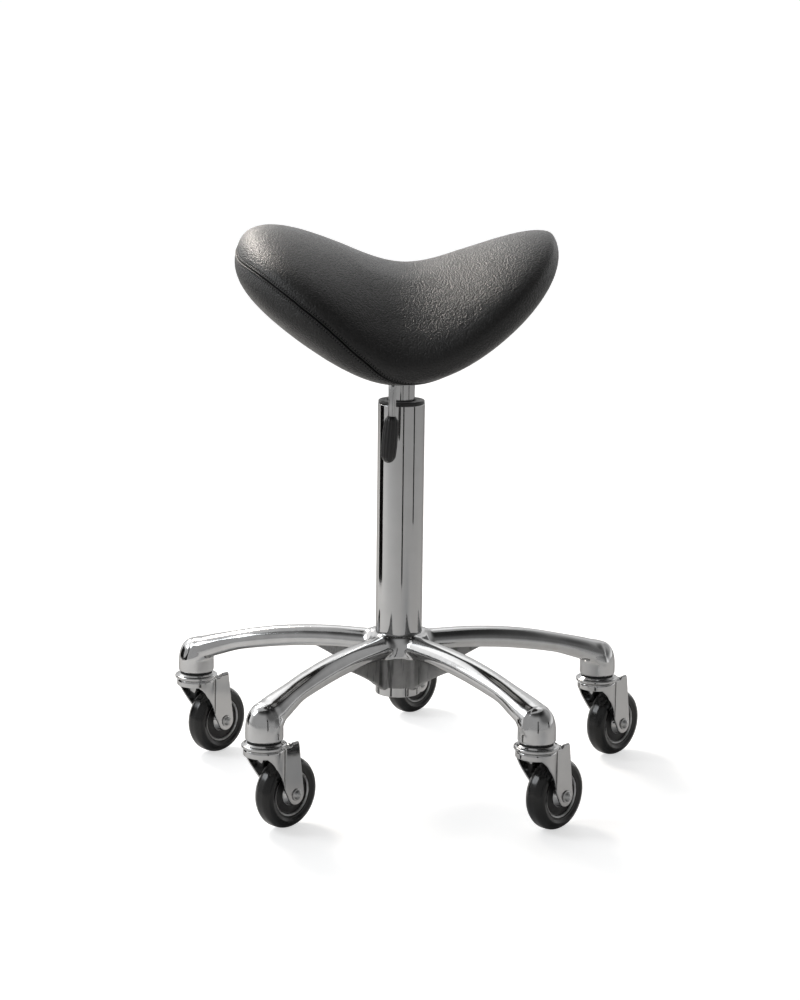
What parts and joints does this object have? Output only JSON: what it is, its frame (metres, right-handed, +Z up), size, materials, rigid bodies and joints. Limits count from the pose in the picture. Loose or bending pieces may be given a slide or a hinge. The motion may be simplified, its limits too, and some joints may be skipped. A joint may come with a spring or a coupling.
{
  "type": "dentist stool",
  "caption": "Saddle stool on a gas lift with a star base, swivel casters, a padded saddle seat and a hanging release lever.",
  "frame": {"origin": "on the floor, at the middle of the footprint that the star base and the casters cover; the column axis stands 14.3 mm towards -X and 38.2 mm towards -Y of it", "axes": "+Z up along the column, +X the way the sitter faces, -Y the side that the release lever hangs on; one arm of the base points along +Y"},
  "size_m": [0.5224, 0.5032, 0.6026],
  "materials": {
    "polished_aluminium": "cast and polished, with unpolished hollows",
    "chrome": "bright chrome plate",
    "zinc_steel": "zinc plated steel",
    "black_plastic": "moulded black plastic, satin",
    "tyre": "glossy black polyurethane tread",
    "damping_rubber": "matt black rubber",
    "leatherette": "black pebble-grained leatherette with stitched seams",
    "plywood": "bare moulded plywood"
  },
  "bodies": {
    "base": {"base_star": "polished_aluminium", "column_tube": "chrome", "column_bush": "black_plastic", "lift_end_plate": "zinc_steel", "retaining_clip": "zinc_steel", "thrust_bearing": "zinc_steel", "rubber_damper": "damping_rubber", "caster_1_stem": "zinc_steel", "caster_1_race": "chrome", "caster_2_stem": "zinc_steel", "caster_2_race": "chrome", "caster_3_stem": "zinc_steel", "caster_3_race": "chrome", "caster_4_stem": "zinc_steel", "caster_4_race": "chrome", "caster_5_stem": "zinc_steel", "caster_5_race": "chrome"},
    "rotor": {"piston_rod": "chrome"},
    "seat": {"gas_cylinder": "chrome", "taper_socket": "zinc_steel", "seat_plate": "zinc_steel", "mounting_block": "plywood", "seat_board": "plywood", "seat_cushion": "leatherette", "seat_bolt_1": "zinc_steel", "seat_bolt_2": "zinc_steel", "seat_bolt_3": "zinc_steel", "seat_bolt_4": "zinc_steel", "lever_pin": "zinc_steel"},
    "lever": {"lever_rod": "chrome", "lever_grip": "black_plastic"},
    "valve": {"valve_pin": "zinc_steel"},
    "fork_1": {"caster_1_fork": "chrome", "caster_1_axle": "zinc_steel", "caster_1_nut": "zinc_steel"},
    "wheel_1": {"caster_1_core": "black_plastic", "caster_1_tyre": "tyre"},
    "fork_2": {"caster_2_fork": "chrome", "caster_2_axle": "zinc_steel", "caster_2_nut": "zinc_steel"},
    "wheel_2": {"caster_2_core": "black_plastic", "caster_2_tyre": "tyre"},
    "fork_3": {"caster_3_fork": "chrome", "caster_3_axle": "zinc_steel", "caster_3_nut": "zinc_steel"},
    "wheel_3": {"caster_3_core": "black_plastic", "caster_3_tyre": "tyre"},
    "fork_4": {"caster_4_fork": "chrome", "caster_4_axle": "zinc_steel", "caster_4_nut": "zinc_steel"},
    "wheel_4": {"caster_4_core": "black_plastic", "caster_4_tyre": "tyre"},
    "fork_5": {"caster_5_fork": "chrome", "caster_5_axle": "zinc_steel", "caster_5_nut": "zinc_steel"},
    "wheel_5": {"caster_5_core": "black_plastic", "caster_5_tyre": "tyre"}
  },
  "joints": [
    {"name": "seat_swivel", "type": "hinge", "parent": "base", "child": "rotor", "pos_m": [-0.01434, -0.0382, 0.106], "axis": [0, 0, 1], "continuous": true},
    {"name": "seat_height", "type": "slide", "parent": "rotor", "child": "seat", "axis": [0, 0, 1], "range_m": [0, 0.195]},
    {"name": "lever_tilt", "type": "hinge", "parent": "seat", "child": "lever", "pos_m": [-0.01434, -0.0622, 0.478], "axis": [-1, 0, 0], "range_deg": [0, 8], "stiffness_Nm_per_rad": 4, "springref_deg": -2.86},
    {"name": "valve_press", "type": "slide", "parent": "seat", "child": "valve", "axis": [0, 0, -1], "range_m": [0, 0.0035]},
    {"name": "caster_1_swivel", "type": "hinge", "parent": "base", "child": "fork_1", "pos_m": [-0.01434, 0.1968, 0.09], "axis": [0, 0, 1], "continuous": true},
    {"name": "caster_1_roll", "type": "hinge", "parent": "fork_1", "child": "wheel_1", "pos_m": [0.0068, 0.21947, 0.0375], "axis": [-0.7314, 0.682, 0], "continuous": true},
    {"name": "caster_2_swivel", "type": "hinge", "parent": "base", "child": "fork_2", "pos_m": [0.20916, 0.03442, 0.09], "axis": [0, 0, 1], "continuous": true},
    {"name": "caster_2_roll", "type": "hinge", "parent": "fork_2", "child": "wheel_2", "pos_m": [0.2303, 0.05709, 0.0375], "axis": [-0.7314, 0.682, 0], "continuous": true},
    {"name": "caster_3_swivel", "type": "hinge", "parent": "base", "child": "fork_3", "pos_m": [0.12379, -0.22832, 0.09], "axis": [0, 0, 1], "continuous": true},
    {"name": "caster_3_roll", "type": "hinge", "parent": "fork_3", "child": "wheel_3", "pos_m": [0.14493, -0.20565, 0.0375], "axis": [-0.7314, 0.682, 0], "continuous": true},
    {"name": "caster_4_swivel", "type": "hinge", "parent": "base", "child": "fork_4", "pos_m": [-0.15247, -0.22832, 0.09], "axis": [0, 0, 1], "continuous": true},
    {"name": "caster_4_roll", "type": "hinge", "parent": "fork_4", "child": "wheel_4", "pos_m": [-0.13133, -0.20565, 0.0375], "axis": [-0.7314, 0.682, 0], "continuous": true},
    {"name": "caster_5_swivel", "type": "hinge", "parent": "base", "child": "fork_5", "pos_m": [-0.23784, 0.03442, 0.09], "axis": [0, 0, 1], "continuous": true},
    {"name": "caster_5_roll", "type": "hinge", "parent": "fork_5", "child": "wheel_5", "pos_m": [-0.2167, 0.05709, 0.0375], "axis": [-0.7314, 0.682, 0], "continuous": true}
  ],
  "couplings": [
    {"joint": "valve_press", "follows": "lever_tilt", "m_per_rad": 0.024}
  ]
}
